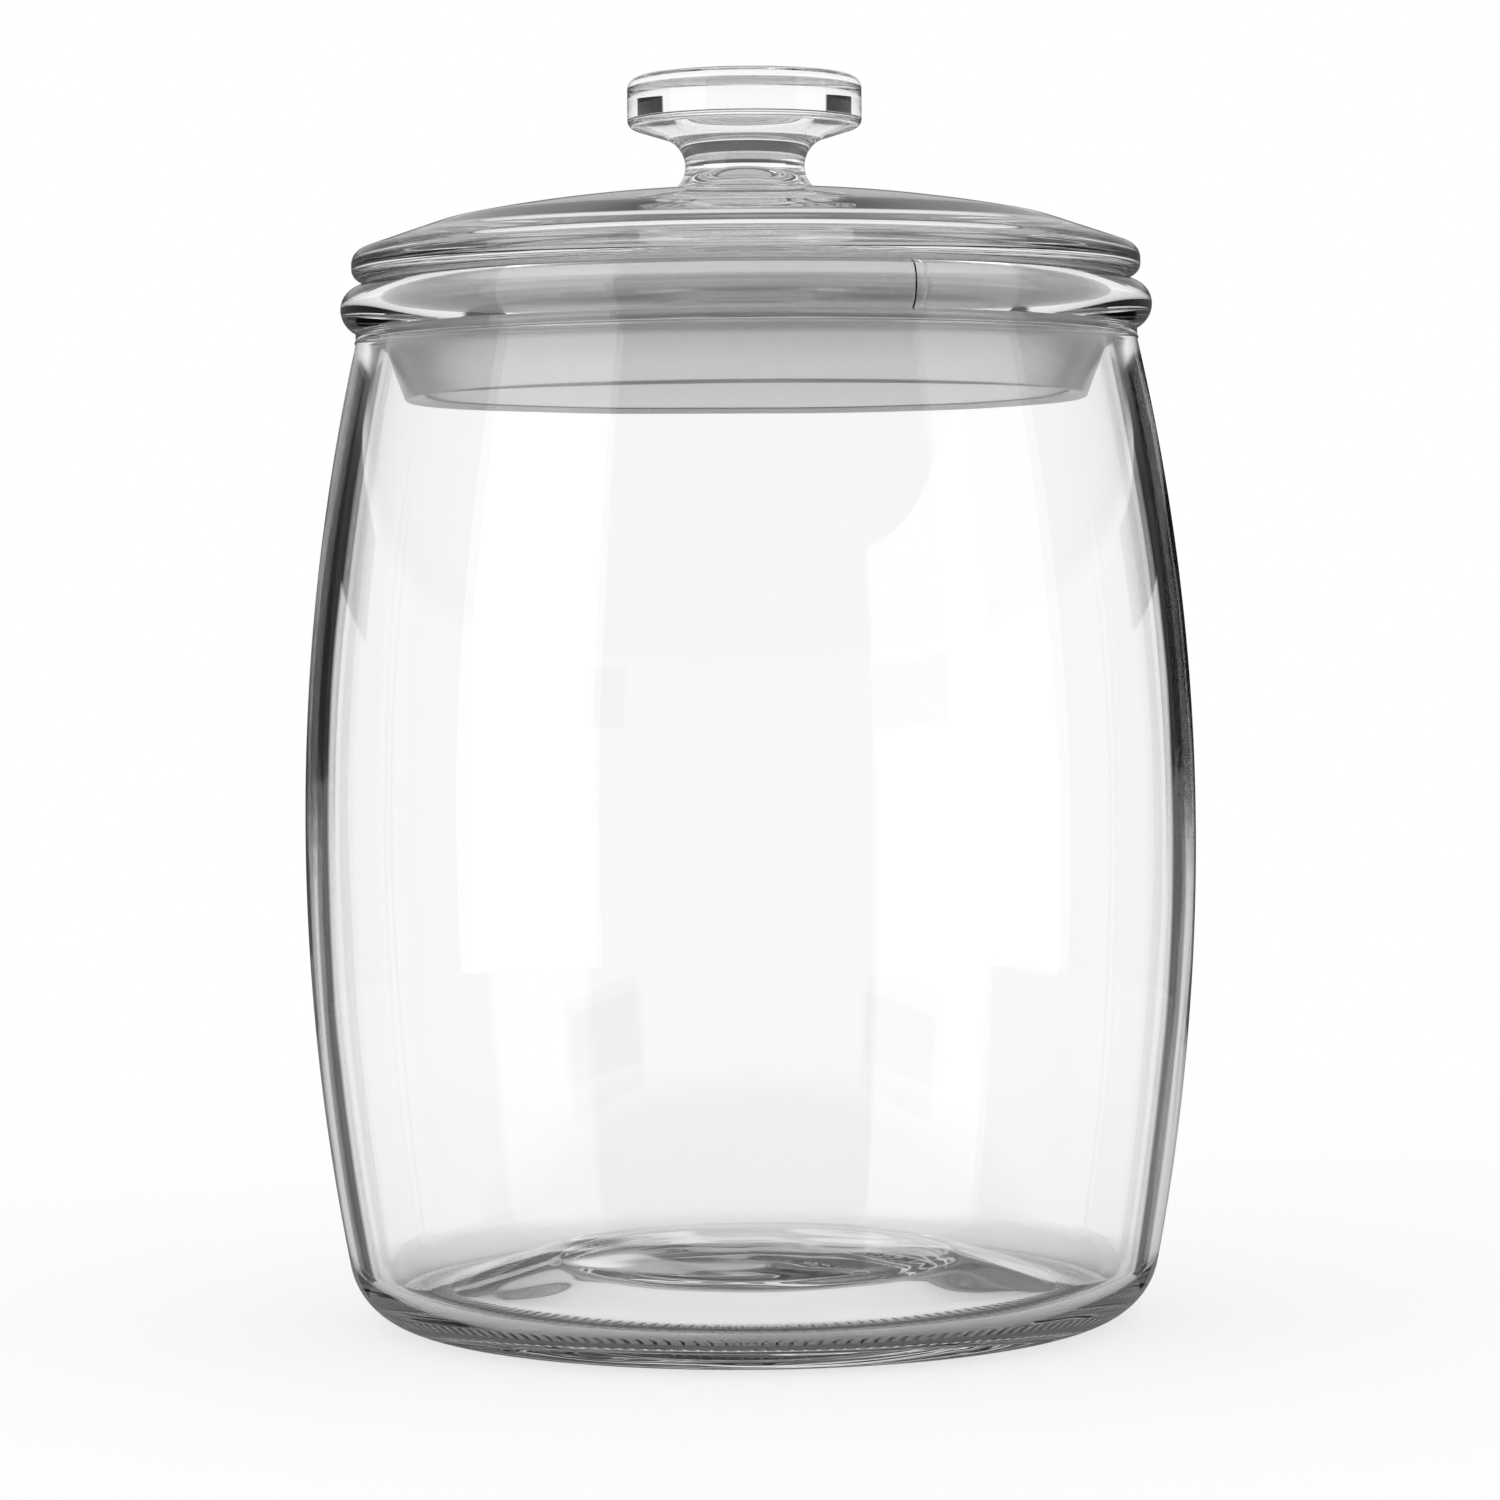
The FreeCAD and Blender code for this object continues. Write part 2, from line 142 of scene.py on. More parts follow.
class LidSizes(bpy.types.PropertyGroup):
    """Sizes of the pressed lid."""

    inset: length("Lid inset", 2.2, "From the bead's widest place in to the lid's edge")
    edge: length("Edge", 5.3, "Thickness of the lid's edge")
    edge_top: length("Edge top", 3.0, "Rounding of the edge above")
    edge_flat: length("Edge flat", 0.1, "Upright stretch between the edge's roundings")
    shoulder_run: length("Shoulder run", 17.3, "From the edge in to where the dome starts")
    shoulder_rise: length("Shoulder rise", 6.0, "From the edge's top up to there")
    shoulder_round: length("Shoulder round", 30.0, "Rounding of that turn")
    dome_rise: length("Dome rise", 6.2, "From the shoulder up to the dome's centre")
    dome_wall: length("Dome wall", 5.2, "Glass thickness at the dome's centre")
    plug_depth: length("Plug depth", 11.5, "From the jar's rim down to the plug's end")
    plug_wall: length("Plug wall", 4.8, "Thickness of the plug")
    plug_edge: length("Plug edge", 1.6, "Rounding of the plug's end")
    well_step: length("Well", 4.5, "From the flange up to the dome's underside at the plug")
    well_round: length("Well round", 3.0, "Rounding between plug and dome inside")
    waist_radius: length("Waist", 11.7, "Thinnest place of the stem")
    waist_rise: length("Waist rise", 4.6, "From the dome's centre up to the waist")
    stem_flare: length("Stem flare", 3.5, "From the waist out to the stem's foot")
    stem_blend: length("Stem blend", 1.2, "Rounding between dome and stem")
    collar_flare: length("Collar flare", 4.6, "From the waist out to the knob's underside")
    collar_rise: length("Collar rise", 5.8, "From the waist up to there")
    knob_radius: length("Knob", 23.0, "Disc knob")
    knob_slope: length("Knob slope", 2.1, "Rise of the knob's underside, collar to edge")
    knob_height: length("Knob height", 9.59, "Height of the knob's edge")
    knob_edge_top: length("Knob edge top", 2.4, "Rounding of the knob above")
    knob_edge_low: length("Knob edge low", 1.8, "Rounding of the knob below")
    stem_wall: length("Stem wall", 3.2, "From the waist in to the throat of the hollow")
    hollow_flare: length("Hollow flare", 12.5, "From the throat out to the hollow's rim")
    hollow_step: length("Hollow step", 0.3, "From that rim up to the underside at the centre")
    throat_rise: length("Throat rise", 3.0, "From the underside's centre up to the throat")
    hollow_rise: length("Hollow rise", 9.0, "From the underside's centre up to the hollow's top")
    wave: length("Wave", 0.08, "How uneven the pressed glass is underneath")


class SealSizes(bpy.types.PropertyGroup):
    """Sizes of the sealing ring."""

    flange: length("Flange", 1.2, "Thickness between rim and lid")
    inset: length("Flange inset", 0.3, "From the edge of the rim's flat top in to the flange's")
    play: length("Play", 0.15, "Clearance to the glass on either side of the sleeve")
    sleeve: length("Sleeve", 1.2, "Thickness of the sleeve round the plug")
    taper_rise: length("Taper rise", 1.0, "From the plug's end up to where the skirt narrows")
    skirt_drop: length("Skirt drop", 11.1, "From the plug's end down to the skirt's")
    skirt_taper: length("Skirt taper", 4.55, "How much the skirt's outer radius narrows")
    skirt_foot: length("Skirt foot", 3.9, "Width of the skirt's end")
    skirt_slant: length("Skirt slant", 1.0, "Rise of the skirt's end towards the inside")
    plug_gap: length("Plug gap", 0.6, "From the plug's end down to the skirt's inner slope")
    edge: length("Edge", 0.3, "Rounding of the moulded edges")


class Finishes(bpy.types.PropertyGroup):
    """Colours and numbers of the glass and the plastic."""

    glass_tint: tint("Glass tint", (0.986, 0.990, 0.988), "Colour of the clear glass")
    glass_ior: amount("Glass IOR", 1.52, "Refractive index of soda glass")
    plastic_tint: tint("Plastic tint", (0.80, 0.80, 0.80), "Colour of the milky plastic")
    plastic_ior: amount("Plastic IOR", 1.3, "Refractive index that the thin ring acts with")
    plastic_roughness: share("Plastic roughness", 0.22, "Roughness of the moulded plastic")


class StageSettings(bpy.types.PropertyGroup):
    """Camera, lamps and surroundings."""

    camera_distance: length("Camera distance", 917.7, "From the jar's axis to the camera")
    camera_height: length("Camera height", 141.3, "Height of the camera over the floor")
    camera_pitch: turn("Camera pitch", -1.845, "Tilt of the view, down is negative")
    camera_roll: turn("Camera roll", -0.5, "Turn about the line of view")
    lens: amount("Lens", 111.74, "Focal length in millimetres on a 36 mm sensor")
    window: turn("Window", 33.0, "Half width of the four bright windows between the dark flags")
    softness: turn("Window softness", 1.0, "Half width of the windows' soft edges")
    flag_tone: amount("Flag tone", 0.01, "Brightness of the dark flags between the windows")
    flag_low: amount("Flag low", 0.070, "Sine of the elevation where the flags begin")
    flag_high: amount("Flag high", 0.135, "Sine of the elevation where the flags end")
    upper_level: amount("Upper level", 0.135, "Sine of the elevation where it gets dark above")
    upper_tone: amount("Upper tone", 0.10, "Brightness of the surroundings above the windows")
    ceiling_low: amount("Ceiling low", 0.45, "Sine of the elevation where the ceiling begins")
    ceiling_tone: amount("Ceiling tone", 0.50, "Brightness of the ceiling in the glass")
    wall_tone: amount("Wall tone", 0.12, "Brightness of the walls in reflections")
    cove_tone: amount("Cove tone", 0.60, "Brightness above the walls in reflections")
    fill: amount("Fill", 0.97, "Brightness of the surroundings as a light")
    floor_radius: length("Floor radius", 550.0, "How far the floor reaches")
    card_gap: length("Card gap", 0.4, "Between the jar's outline and the dark cards' edge")
    card_width: length("Card width", 20.0, "From the cards' inner edge out to the outer one")
    card_low: length("Card low", 76.0, "Height below which the cards are only lines")
    card_high: length("Card high", 112.0, "Height from which the cards are whole")


class JarModel(bpy.types.PropertyGroup):
    """Everything that a user can set on the jar."""

    jar: PointerProperty(type=JarSizes, name="Jar", description="Sizes of the jar")
    lid: PointerProperty(type=LidSizes, name="Lid", description="Sizes of the lid")
    seal: PointerProperty(type=SealSizes, name="Seal", description="Sizes of the seal")
    finish: PointerProperty(type=Finishes, name="Finishes", description="Colours and numbers")
    stage: PointerProperty(type=StageSettings, name="Stage", description="Camera and light")
    turns: IntProperty(name="Turn steps", description="Steps of a full turn", default=216, min=24)


# ---------------------------------------------------------------- outlines

RUN_STEP = 2.0 * MM
ROUND_STEP = math.radians(5.0)
REACH = 1.0
SAME_POINT = 0.001 * MM
SHARP_TURN = math.radians(38.0)


class Stroke:
    """One edge of an outline: straight, or round about a centre."""

    def __init__(self, start, end, centre=None, wave=0.0):
        self.start = Vector(start)
        self.end = Vector(end)
        self.centre = None if centre is None else Vector(centre)
        self.wave = wave

    @property
    def radius(self):
        return (self.end - self.centre).length

    @property
    def sweep(self):
        """Angle about the centre, counter-clockwise positive."""
        return -(self.start - self.centre).angle_signed(self.end - self.centre)

    @property
    def heading(self):
        return (self.end - self.start).normalized()

    def offset(self, distance):
        """The stroke moved to its left: a line as two far points, a circle as centre and radius."""
        if self.centre is None:
            left = Vector((-self.heading.y, self.heading.x)) * distance
            along = self.heading * REACH
            return self.start + left - along, self.start + left + along
        inward = distance if self.sweep > 0 else -distance
        return self.centre, self.radius - inward

    def nearest(self, point):
        """The point of the whole line or circle that is nearest."""
        if self.centre is None:
            return self.start + self.heading * (point - self.start).dot(self.heading)
        return self.centre + (point - self.centre).normalized() * self.radius

    def leaving(self, at_end):
        """Direction of travel at the stroke's end, or at its start."""
        if self.centre is None:
            return self.heading
        spoke = ((self.end if at_end else self.start) - self.centre).normalized()
        side = 1.0 if self.sweep > 0 else -1.0
        return Vector((-spoke.y, spoke.x)) * side


def crossing(one, other, near):
    """Where two offset strokes cross, nearest to a point."""
    one_round = not isinstance(one[1], Vector)
    other_round = not isinstance(other[1], Vector)
    if one_round and other_round:
        found = geometry.intersect_sphere_sphere_2d(*one, *other)
    elif one_round or other_round:
        line, circle = (other, one) if one_round else (one, other)
        found = geometry.intersect_line_sphere_2d(*line, *circle, False)
    else:
        found = [geometry.intersect_line_line_2d(*one, *other)]
    found = [point for point in found if point is not None]
    if not found:
        raise RuntimeError(f"no rounding fits the corner at {near}")
    return min(found, key=lambda point: (point - near).length)


class Outline:
    """Straight and round strokes in the XZ plane, with rounded corners between them."""

    def __init__(self, x, z):
        self.tip = Vector((x, z))
        self.strokes = []
        self.roundings = []
        self.wave = 0.0

    def line(self, x, z, rounding=0.0):
        """Go straight to a corner, whose rounding is a radius."""
        self.add(Vector((x, z)), None, rounding)

    def arc(self, x, z, centre, rounding=0.0):
        """Go round a centre to a corner."""
        self.add(Vector((x, z)), centre, rounding)

    def arc_from_upright(self, x, z, rounding=0.0):
        """Start out upright and curve to a corner."""
        self.arc(x, z, (self.tip.x + bulge(self.tip, Vector((x, z))), self.tip.y), rounding)

    def arc_to_upright(self, x, z, rounding=0.0):
        """Curve to a corner and arrive there upright."""
        self.arc(x, z, (x + bulge(Vector((x, z)), self.tip), z), rounding)

    def arc_on_axis(self, x, z, rounding=0.0):
        """Curve to a corner about a centre on the jar's axis."""
        middle = (self.tip.y + z) / 2
        level = middle + (x - self.tip.x) * (x + self.tip.x) / (2 * (z - self.tip.y))
        self.arc(x, z, (0.0, level), rounding)

    def add(self, end, centre, rounding):
        self.strokes.append(Stroke(self.tip, end, centre, self.wave))
        self.roundings.append(rounding)
        self.tip = end

    def rounded(self, closed):
        """The strokes cut back at their corners, with an arc in each rounding."""
        strokes = list(self.strokes)
        made = []
        for index, stroke in enumerate(strokes):
            rounding = self.roundings[index]
            follower = strokes[(index + 1) % len(strokes)]
            last = index == len(strokes) - 1
            made.append(stroke)
            if not rounding or (last and not closed):
                continue
            turning = stroke.leaving(True).cross(follower.leaving(False))
            side = rounding if turning > 0 else -rounding
            centre = crossing(stroke.offset(side), follower.offset(side), stroke.end)
            begin = stroke.nearest(centre)
            finish = follower.nearest(centre)
            stroke.end = begin
            follower.start = finish
            made.append(Stroke(begin, finish, centre, stroke.wave))
        return made

    def wire(self, closed=False):
        """A new bmesh with the outline as a wire, each stroke extruded or spun from the last."""
        mesh = bmesh.new()
        give = mesh.verts.layers.float.new("wave")
        strokes = self.rounded(closed)
        first = mesh.verts.new(upright(strokes[0].start))
        first[give] = strokes[0].wave
        tip = first
        for stroke in strokes:
            count = len(mesh.verts)
            if stroke.centre is None:
                tip = run(mesh, tip, stroke)
            else:
                tip = swing(mesh, tip, stroke)
            mesh.verts.ensure_lookup_table()
            for vertex in mesh.verts[count:]:
                vertex[give] = stroke.wave
        if closed:
            bmesh.ops.pointmerge(mesh, verts=[first, tip], merge_co=first.co)
        return mesh


class Cap:
    """A shallow dome on the axis, from its top down to its edge."""

    def __init__(self, top, edge_radius, edge_level):
        rise = top - edge_level
        self.radius = (edge_radius * edge_radius + rise * rise) / (2 * rise)
        self.centre = (0.0, top - self.radius)

    def level(self, radius):
        return self.centre[1] + math.sqrt(self.radius**2 - radius**2)


def bulge(upright_end, other_end):
    """How far beside the end where it stands upright an arc has its centre."""
    across = other_end.x - upright_end.x
    along = other_end.y - upright_end.y
    return (across * across + along * along) / (2 * across)


def upright(point):
    return Vector((point.x, 0.0, point.y))


def run(mesh, tip, stroke):
    """Extrude a wire's tip along a straight stroke in even steps."""
    steps = max(1, math.ceil((stroke.end - stroke.start).length / RUN_STEP))
    for step in range(1, steps + 1):
        tip = bmesh.ops.extrude_vert_indiv(mesh, verts=[tip])["verts"][0]
        tip.co = upright(stroke.start.lerp(stroke.end, step / steps))
    return tip


def swing(mesh, tip, stroke):
    """Spin a wire's tip along a round stroke."""
    by_angle = abs(stroke.sweep) / ROUND_STEP
    by_length = abs(stroke.sweep) * stroke.radius / RUN_STEP
    steps = max(2, math.ceil(max(by_angle, by_length)))
    spun = bmesh.ops.spin(
        mesh,
        geom=[tip],
        cent=upright(stroke.centre),
        axis=(0.0, -1.0, 0.0),
        angle=stroke.sweep,
        steps=steps,
    )
    return next(item for item in spun["geom_last"] if isinstance(item, bmesh.types.BMVert))


def turned(name, mesh, turns, ripple):
    """Spin a wire once round the jar's axis and make an object of it."""
    bmesh.ops.spin(
        mesh,
        geom=mesh.verts[:] + mesh.edges[:],
        cent=(0.0, 0.0, 0.0),
        axis=(0.0, 0.0, 1.0),
        angle=math.tau,
        steps=turns,
        use_merge=True,
    )
    bmesh.ops.remove_doubles(mesh, verts=mesh.verts[:], dist=SAME_POINT)
    bmesh.ops.recalc_face_normals(mesh, faces=mesh.faces[:])
    if mesh.calc_volume(signed=True) < 0:
        bmesh.ops.reverse_faces(mesh, faces=mesh.faces[:])
    mesh.normal_update()
    give = mesh.verts.layers.float["wave"]
    shifts = [(v, v.normal * v[give] * ripple(v.co)) for v in mesh.verts if v[give]]
    for vertex, shift in shifts:
        vertex.co += shift
    mesh.verts.layers.float.remove(give)
    data = bpy.data.meshes.new(name)
    mesh.to_mesh(data)
    mesh.free()
    data.shade_smooth()
    data.set_sharp_from_angle(angle=SHARP_TURN)
    piece = bpy.data.objects.new(name, data)
    bpy.context.scene.collection.objects.link(piece)
    return piece


def blown_ripple(place):
    """Slow swells of a blown wall with smaller ones on them, between -1 and 1."""
    slow = noise.noise(Vector((place.x * 22.0, place.y * 22.0, place.z * 15.0)))
    quick = noise.noise(Vector((place.x * 52.0, place.y * 52.0, place.z * 20.0 + 5.0)))
    return 0.7 * slow + 0.3 * quick


def pressed_ripple(place):
    """Swells of pressed glass, finer than those of a blown wall."""
    return noise.noise(place * 45.0 + Vector((3.0, 7.0, 1.0)))


# ---------------------------------------------------------------- finishes

SEAM_TURN = math.radians(-65.5)
SEAM_REACH = 0.006
KNURL_TEETH = 160.0
KNURL_FULL = 0.2 * MM
KNURL_TOP = 0.7 * MM
BLOWN_RELIEF = 0.06 * MM
PRESSED_RELIEF = 0.05 * MM
FLOW_RELIEF = 0.05 * MM
PLASTIC_LIGHT = 1.02
PLASTIC_DARK = 0.97
PLASTIC_CLEAR = 0.85


def add_node(tree, kind, inputs=None, **settings):
    """Add a node, set its fields, and fill its inputs with values or with other nodes' outputs."""
    node = tree.nodes.new(kind)
    for field, value in settings.items():
        setattr(node, field, value)
    for key, value in (inputs or {}).items():
        if isinstance(value, bpy.types.NodeSocket):
            tree.links.new(value, node.inputs[key])
        else:
            node.inputs[key].default_value = value
    return node


def arithmetic(tree, operation, *values):
    """A math node's output over values or sockets."""
    inputs = dict(enumerate(values))
    return add_node(tree, "ShaderNodeMath", inputs, operation=operation).outputs[0]


def smooth_step(tree, value, low, high, bottom=0.0, top=1.0):
    """Ease from bottom to top while a value goes from low to high."""
    inputs = {"Value": value, "From Min": low, "From Max": high, "To Min": bottom, "To Max": top}
    node = add_node(tree, "ShaderNodeMapRange", inputs, interpolation_type="SMOOTHSTEP")
    return node.outputs["Result"]


def new_group(name, inputs, outputs):
    """An empty shader group with float sockets; returns the tree, its input and its output node."""
    group = bpy.data.node_groups.new(name, "ShaderNodeTree")
    for socket, kind, value in inputs:
        made = group.interface.new_socket(name=socket, in_out="INPUT", socket_type=kind)
        made.default_value = value
    for socket, kind in outputs:
        group.interface.new_socket(name=socket, in_out="OUTPUT", socket_type=kind)
    return group, group.nodes.new("NodeGroupInput"), group.nodes.new("NodeGroupOutput")


def glass_skin_group():
    """Height of a fire-polished skin: slow swells, the mould's seam and teeth under the foot."""
    group, inside, outside = new_group(
        "glass_skin",
        [
            ("Swell Scale", "NodeSocketFloat", 40.0),
            ("Swell Height", "NodeSocketFloat", 1.0),
            ("Seam Turn", "NodeSocketFloat", 0.0),
            ("Seam Low", "NodeSocketFloat", 0.0),
            ("Seam Height", "NodeSocketFloat", 0.0),
            ("Knurl Height", "NodeSocketFloat", 0.0),
        ],
        [("Height", "NodeSocketFloat")],
    )
    place = add_node(group, "ShaderNodeTexCoord").outputs["Object"]
    swell = add_node(
        group,
        "ShaderNodeTexNoise",
        {"Vector": place, "Scale": inside.outputs["Swell Scale"], "Detail": 1.0, "Roughness": 0.4},
    ).outputs["Fac"]
    swell_height = arithmetic(group, "MULTIPLY", swell, inside.outputs["Swell Height"])
    split = add_node(group, "ShaderNodeSeparateXYZ", {"Vector": place})
    bearing = arithmetic(group, "ARCTAN2", split.outputs["Y"], split.outputs["X"])
    half_turns = arithmetic(group, "SUBTRACT", bearing, inside.outputs["Seam Turn"])
    beside = arithmetic(group, "ABSOLUTE", arithmetic(group, "SINE", half_turns))
    line = smooth_step(group, beside, 0.0, SEAM_REACH, 1.0, 0.0)
    reach = arithmetic(group, "GREATER_THAN", split.outputs["Z"], inside.outputs["Seam Low"])
    seam = arithmetic(group, "MULTIPLY", line, reach)
    seam_height = arithmetic(group, "MULTIPLY", seam, inside.outputs["Seam Height"])
    teeth = arithmetic(group, "SINE", arithmetic(group, "MULTIPLY", bearing, KNURL_TEETH))
    standing = smooth_step(group, split.outputs["Z"], KNURL_FULL, KNURL_TOP, 1.0, 0.0)
    knurl = arithmetic(group, "MULTIPLY", teeth, standing)
    knurl_height = arithmetic(group, "MULTIPLY", knurl, inside.outputs["Knurl Height"])
    relief = arithmetic(group, "ADD", swell_height, seam_height)
    total = arithmetic(group, "ADD", relief, knurl_height)
    group.links.new(total, outside.inputs["Height"])
    return group


def shared_skin():
    """The skin group, which both glasses share."""
    return bpy.data.node_groups.get("glass_skin") or glass_skin_group()


def glass_material(name, finish, values, distance):
    """Clear glass whose normal follows the shared skin group."""
    material = bpy.data.materials.new(name)
    material.use_nodes = True
    tree = material.node_tree
    shader = tree.nodes["Principled BSDF"]
    shader.inputs["Base Color"].default_value = (*finish.glass_tint, 1.0)
    shader.inputs["Metallic"].default_value = 0.0
    shader.inputs["Roughness"].default_value = 0.0
    shader.inputs["IOR"].default_value = finish.glass_ior
    shader.inputs["Transmission Weight"].default_value = 1.0
    surface = add_node(tree, "ShaderNodeGroup", node_tree=shared_skin())
    for socket, value in values.items():
        surface.inputs[socket].default_value = value
    relief = {"Height": surface.outputs["Height"], "Distance": distance, "Strength": 1.0}
    bump = add_node(tree, "ShaderNodeBump", relief)
    tree.links.new(bump.outputs["Normal"], shader.inputs["Normal"])
    return material


def plastic_material(finish):
    """Milky, half clear plastic with faint flow marks."""
    material = bpy.data.materials.new("milky_plastic")
    material.use_nodes = True
    tree = material.node_tree
    shader = tree.nodes["Principled BSDF"]
    place = add_node(tree, "ShaderNodeTexCoord").outputs["Object"]
    cloud = add_node(tree, "ShaderNodeTexNoise", {"Vector": place, "Scale": 60.0, "Detail": 2.0})
    ramp = add_node(tree, "ShaderNodeMix", {0: cloud.outputs["Fac"]}, data_type="RGBA")
    light = [min(1.0, value * PLASTIC_LIGHT) for value in finish.plastic_tint]
    dark = [value * PLASTIC_DARK for value in finish.plastic_tint]
    ramp.inputs["A"].default_value = (*dark, 1.0)
    ramp.inputs["B"].default_value = (*light, 1.0)
    tree.links.new(ramp.outputs["Result"], shader.inputs["Base Color"])
    shader.inputs["Roughness"].default_value = finish.plastic_roughness
    shader.inputs["IOR"].default_value = finish.plastic_ior
    shader.inputs["Transmission Weight"].default_value = PLASTIC_CLEAR
    flow = {"Height": cloud.outputs["Fac"], "Distance": FLOW_RELIEF}
    bump = add_node(tree, "ShaderNodeBump", flow)
    tree.links.new(bump.outputs["Normal"], shader.inputs["Normal"])
    return material


def dress(piece, node, material):
    """Give a piece its finish and its place in the frame."""
    piece.data.materials.append(material)
    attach(piece, BODY)
    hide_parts(node)


# ---------------------------------------------------------------- operators


class JarOperator:
    bl_options = {"REGISTER", "UNDO"}


class JAR_OT_jar_glass(JarOperator, bpy.types.Operator):
    """Turn the blown glass jar"""

    bl_idname = "storage_jar.jar_glass"
    bl_label = "Jar glass"

    def execute(self, context):
        model = context.scene.storage_jar
        jar = model.jar
        bead_low = jar.height - jar.bead_height
        neck_top = bead_low - jar.neck_land
        neck = jar.mouth_radius + jar.neck_wall
        gutter = jar.foot_radius - jar.foot_wall
        punt = jar.foot_radius - jar.foot_ring
        outline = Outline(0.0, jar.punt_height + jar.punt_crown)
        outline.arc_on_axis(punt - jar.punt_slope, jar.punt_height, jar.punt_top_edge)
        outline.line(punt, 0.0, jar.punt_edge)
        outline.line(jar.foot_radius, 0.0, jar.heel)
        outline.arc_to_upright(jar.belly_radius, jar.belly_level)
        outline.arc_from_upright(neck, neck_top - jar.parting)
        outline.arc(neck, neck_top + jar.parting, (neck, neck_top))
        outline.line(neck, bead_low)
        outline.arc_to_upright(neck + jar.bead_overhang, jar.height - jar.bead_height / 2)
        outline.arc_from_upright(jar.mouth_radius + jar.rim_land, jar.height)
        outline.line(jar.mouth_radius, jar.height, jar.mouth_edge)
        outline.line(jar.mouth_radius, neck_top)
        outline.wave = jar.wall_wave
        outline.arc_to_upright(jar.belly_radius - jar.wall, jar.belly_level)
        outline.arc_from_upright(gutter, jar.gutter_level, jar.gutter)
        outline.wave = jar.floor_wave
        outline.line(gutter - jar.gutter_width, jar.plateau_level, jar.plateau_edge)
        outline.arc_on_axis(0.0, jar.plateau_level + jar.plateau_crown)
        piece = turned("jar_glass", outline.wire(), model.turns, blown_ripple)
        values = {
            "Swell Scale": 30.0,
            "Swell Height": 1.0,
            "Seam Turn": SEAM_TURN,
            "Seam Low": bead_low,
            "Seam Height": 4.0,
            "Knurl Height": 3.5,
        }
        material = glass_material("blown_glass", model.finish, values, BLOWN_RELIEF)
        dress(piece, "jar", material)
        return {"FINISHED"}


class JAR_OT_lid_glass(JarOperator, bpy.types.Operator):
    """Turn the pressed glass lid with its plug, stem and knob"""

    bl_idname = "storage_jar.lid_glass"
    bl_label = "Lid glass"

    def execute(self, context):
        model = context.scene.storage_jar
        lid = model.lid
        seal = model.seal
        jar = model.jar
        seat = jar.height + seal.flange
        rim = jar.mouth_radius + jar.neck_wall + jar.bead_overhang - lid.inset
        plug_end = jar.height - lid.plug_depth
        plug_out = jar.mouth_radius - 2 * seal.play - seal.sleeve
        plug_in = plug_out - lid.plug_wall
        edge_top = seat + lid.edge
        shoulder = edge_top + lid.shoulder_rise
        dome_top = shoulder + lid.dome_rise
        dome_under = dome_top - lid.dome_wall
        waist = dome_top + lid.waist_rise
        collar = waist + lid.collar_rise
        knob_low = collar + lid.knob_slope
        well = seat + lid.well_step
        throat = lid.waist_radius - lid.stem_wall
        hollow = throat + lid.hollow_flare
        dome_edge = rim - lid.shoulder_run
        edge_low = lid.edge - lid.edge_top - lid.edge_flat
        outline = Outline(0.0, dome_under + lid.hollow_rise)
        outline.wave = lid.wave
        outline.arc_on_axis(throat, dome_under + lid.throat_rise)
        outline.line(hollow, dome_under - lid.hollow_step)
        under = Cap(dome_under, plug_in, well)
        outline.line(hollow, under.level(hollow))
        outline.arc(plug_in, well, under.centre, lid.well_round)
        outline.line(plug_in, plug_end, lid.plug_edge)
        outline.line(plug_out, plug_end, lid.plug_edge)
        outline.wave = 0.0
        outline.line(plug_out, seat)
        outline.line(rim, seat, edge_low)
        outline.line(rim, edge_top, lid.edge_top)
        outline.line(dome_edge, shoulder, lid.shoulder_round)
        dome = Cap(dome_top, dome_edge, shoulder)
        stem_foot = lid.waist_radius + lid.stem_flare
        outline.arc(stem_foot, dome.level(stem_foot), dome.centre, lid.stem_blend)
        outline.arc_to_upright(lid.waist_radius, waist)
        outline.arc_from_upright(lid.waist_radius + lid.collar_flare, collar)
        outline.line(lid.knob_radius, knob_low, lid.knob_edge_low)
        outline.line(lid.knob_radius, knob_low + lid.knob_height, lid.knob_edge_top)
        outline.line(0.0, knob_low + lid.knob_height)
        piece = turned("lid_glass", outline.wire(), model.turns, pressed_ripple)
        values = {"Swell Scale": 45.0, "Swell Height": 1.0, "Seam Height": 0.0}
        material = glass_material("pressed_glass", model.finish, values, PRESSED_RELIEF)
        dress(piece, "lid", material)
        return {"FINISHED"}


class JAR_OT_seal_ring(JarOperator, bpy.types.Operator):
    """Turn the soft sealing ring"""

    bl_idname = "storage_jar.seal_ring"
    bl_label = "Sealing ring"

    def execute(self, context):
        model = context.scene.storage_jar
        seal = model.seal
        jar = model.jar
        seat = jar.height + seal.flange
        flange = jar.mouth_radius + jar.rim_land - seal.inset
        sleeve_out = jar.mouth_radius - seal.play
        sleeve_in = sleeve_out - seal.sleeve
        plug_end = jar.height - model.lid.plug_depth
        skirt = sleeve_out - seal.skirt_taper
        skirt_end = plug_end - seal.skirt_drop
        outline = Outline(sleeve_out, jar.height)
        outline.line(flange, jar.height, seal.edge)
        outline.line(flange, seat, seal.edge)
        outline.line(sleeve_in, seat, seal.edge)
        outline.line(sleeve_in, plug_end - seal.plug_gap)
        outline.line(skirt - seal.skirt_foot, skirt_end + seal.skirt_slant, seal.edge)
        outline.line(skirt, skirt_end, seal.edge)
        outline.line(sleeve_out, plug_end + seal.taper_rise)
        outline.line(sleeve_out, jar.height)
        piece = turned("seal_ring", outline.wire(closed=True), model.turns, blown_ripple)
        dress(piece, "seal", plastic_material(model.finish))
        return {"FINISHED"}


